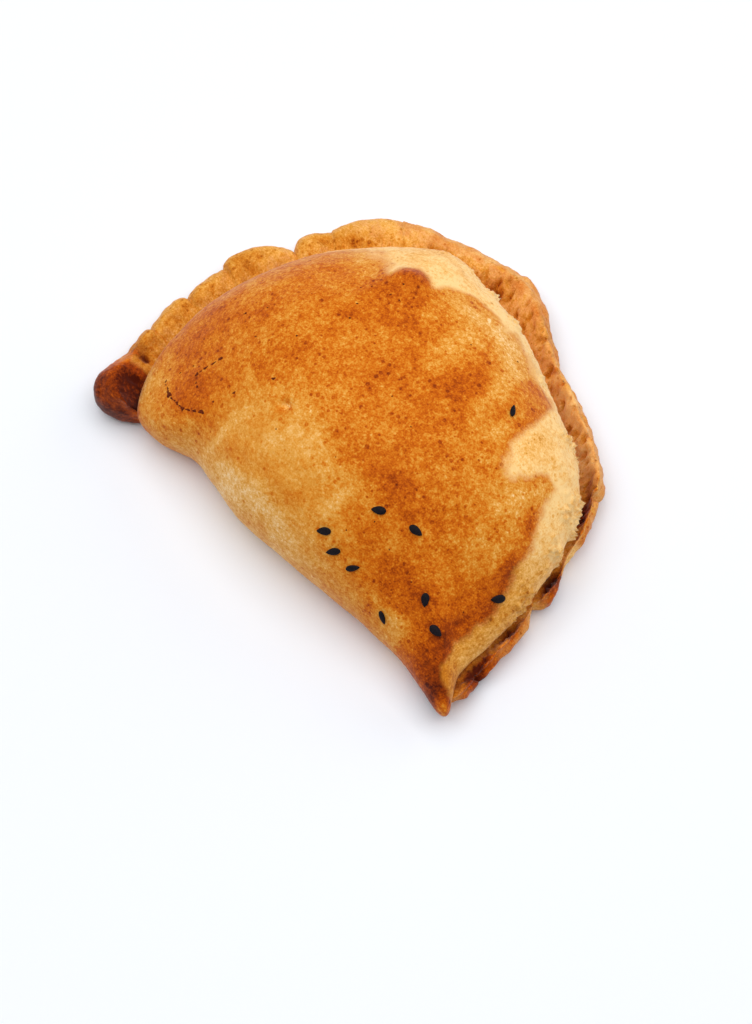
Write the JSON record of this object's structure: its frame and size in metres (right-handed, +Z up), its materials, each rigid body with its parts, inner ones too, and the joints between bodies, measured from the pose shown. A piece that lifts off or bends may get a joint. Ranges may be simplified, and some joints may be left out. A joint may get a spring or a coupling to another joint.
{
  "type": "empanada",
  "caption": "Baked half-moon pastry with a filled dome, a straight folded side and a thumb-crimped curved rim that ends in a turned-over tail.",
  "frame": {"origin": "middle of the length and breadth, on the surface it rests on", "axes": "+X along the folded side, from the turned-over tail to the pinched tip; +Y from the fold towards the crimped curve; +Z up"},
  "size_m": [0.13, 0.1046, 0.0422],
  "materials": {
    "crust": "baked golden-brown dough, satin on top and dry at the edge"
  },
  "bodies": {
    "root": {"empanada": "crust"}
  },
  "joints": []
}
